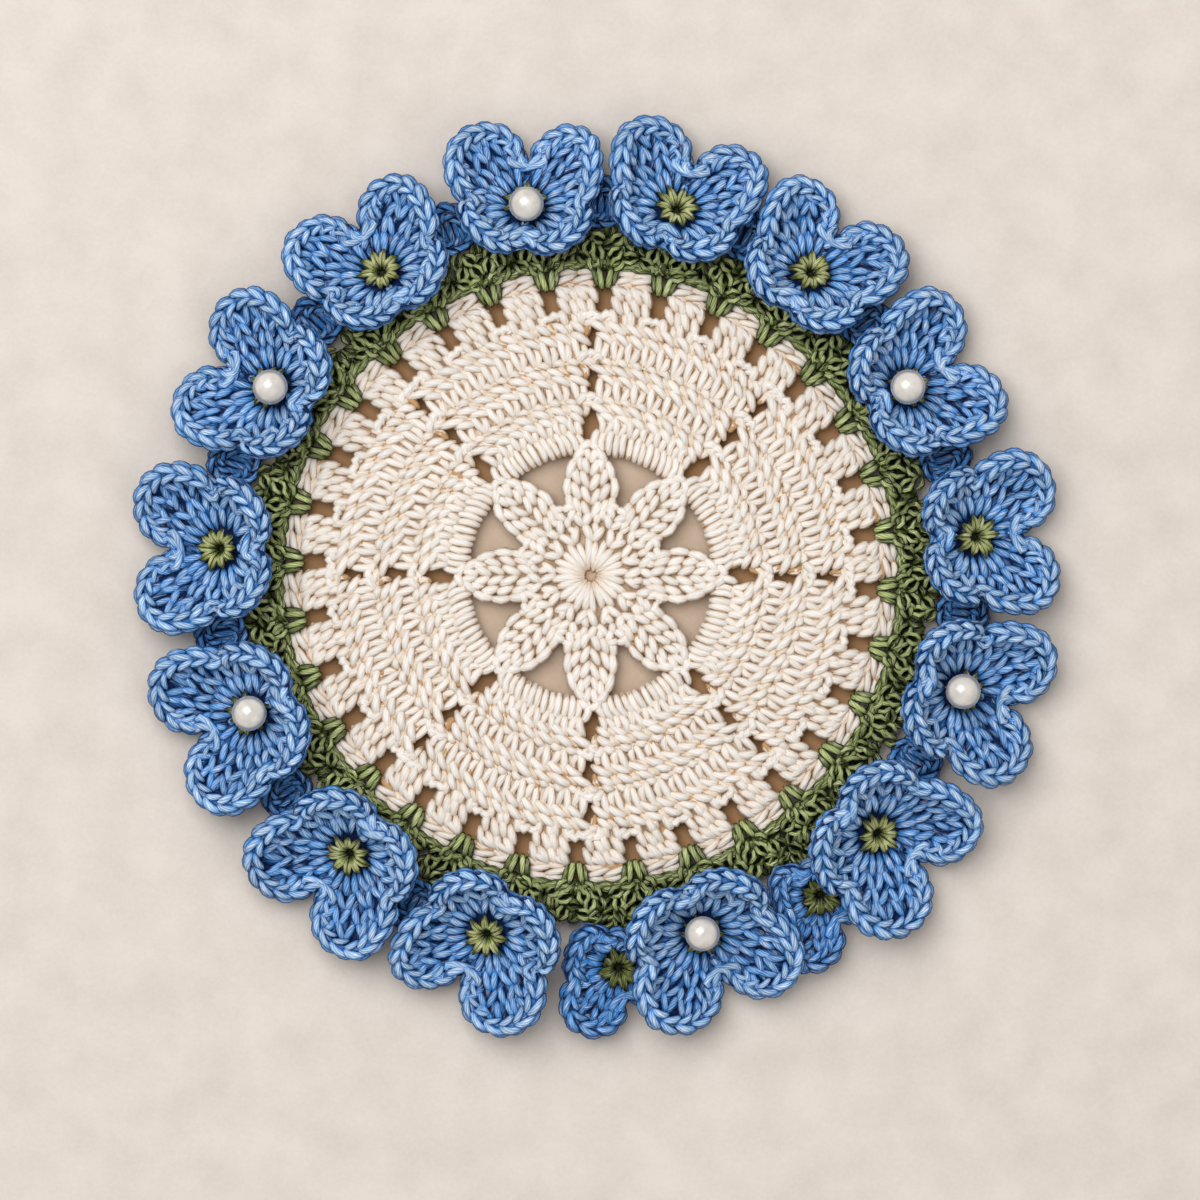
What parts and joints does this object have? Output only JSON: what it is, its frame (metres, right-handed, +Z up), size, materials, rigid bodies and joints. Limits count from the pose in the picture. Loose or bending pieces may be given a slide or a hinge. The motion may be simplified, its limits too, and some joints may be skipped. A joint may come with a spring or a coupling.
{
  "type": "crochet coaster",
  "caption": "Round crochet coaster: a flat openwork mat with a star at its middle, a lace edging and a wreath of cupped flowers, some with a bead.",
  "frame": {"origin": "middle of the mat's flat underside", "axes": "+Z up out of the mat's upper face, +Y toward the top of the picture, +X to its right"},
  "size_m": [0.1662, 0.1658, 0.0184],
  "materials": {
    "cream_cotton": "matte mercerised cotton yarn",
    "green_cotton": "satin mercerised cotton yarn",
    "blue_cotton": "satin mercerised cotton yarn",
    "pearl_bead": "pearly gloss"
  },
  "bodies": {
    "root": {"cream_mat": "cream_cotton", "green_edging": "green_cotton", "flower_01": "blue_cotton", "flower_02": "blue_cotton", "flower_03": "blue_cotton", "flower_04": "blue_cotton", "flower_05": "blue_cotton", "flower_06": "blue_cotton", "flower_07": "blue_cotton", "flower_08": "blue_cotton", "flower_09": "blue_cotton", "flower_10": "blue_cotton", "flower_11": "blue_cotton", "flower_12": "blue_cotton", "flower_13": "blue_cotton", "flower_14": "blue_cotton", "flower_15": "blue_cotton", "flower_16": "blue_cotton", "flower_eye_01": "green_cotton", "flower_eye_02": "green_cotton", "flower_eye_03": "green_cotton", "flower_eye_04": "green_cotton", "flower_eye_05": "green_cotton", "flower_eye_06": "green_cotton", "flower_eye_07": "green_cotton", "flower_eye_08": "green_cotton", "flower_eye_09": "green_cotton", "flower_eye_10": "green_cotton", "flower_eye_11": "green_cotton", "flower_eye_12": "green_cotton", "flower_eye_13": "green_cotton", "flower_eye_14": "green_cotton", "flower_eye_15": "green_cotton", "flower_eye_16": "green_cotton", "low_petal_01": "blue_cotton", "low_petal_02": "blue_cotton", "low_petal_03": "blue_cotton", "low_petal_04": "blue_cotton", "low_petal_05": "blue_cotton", "low_petal_06": "blue_cotton", "low_petal_11": "blue_cotton", "low_petal_12": "blue_cotton", "low_petal_13": "blue_cotton", "low_petal_14": "blue_cotton", "low_petal_15": "blue_cotton", "low_petal_16": "blue_cotton", "pearl_01": "pearl_bead", "pearl_04": "pearl_bead", "pearl_06": "pearl_bead", "pearl_09": "pearl_bead", "pearl_13": "pearl_bead", "pearl_15": "pearl_bead"}
  },
  "joints": []
}
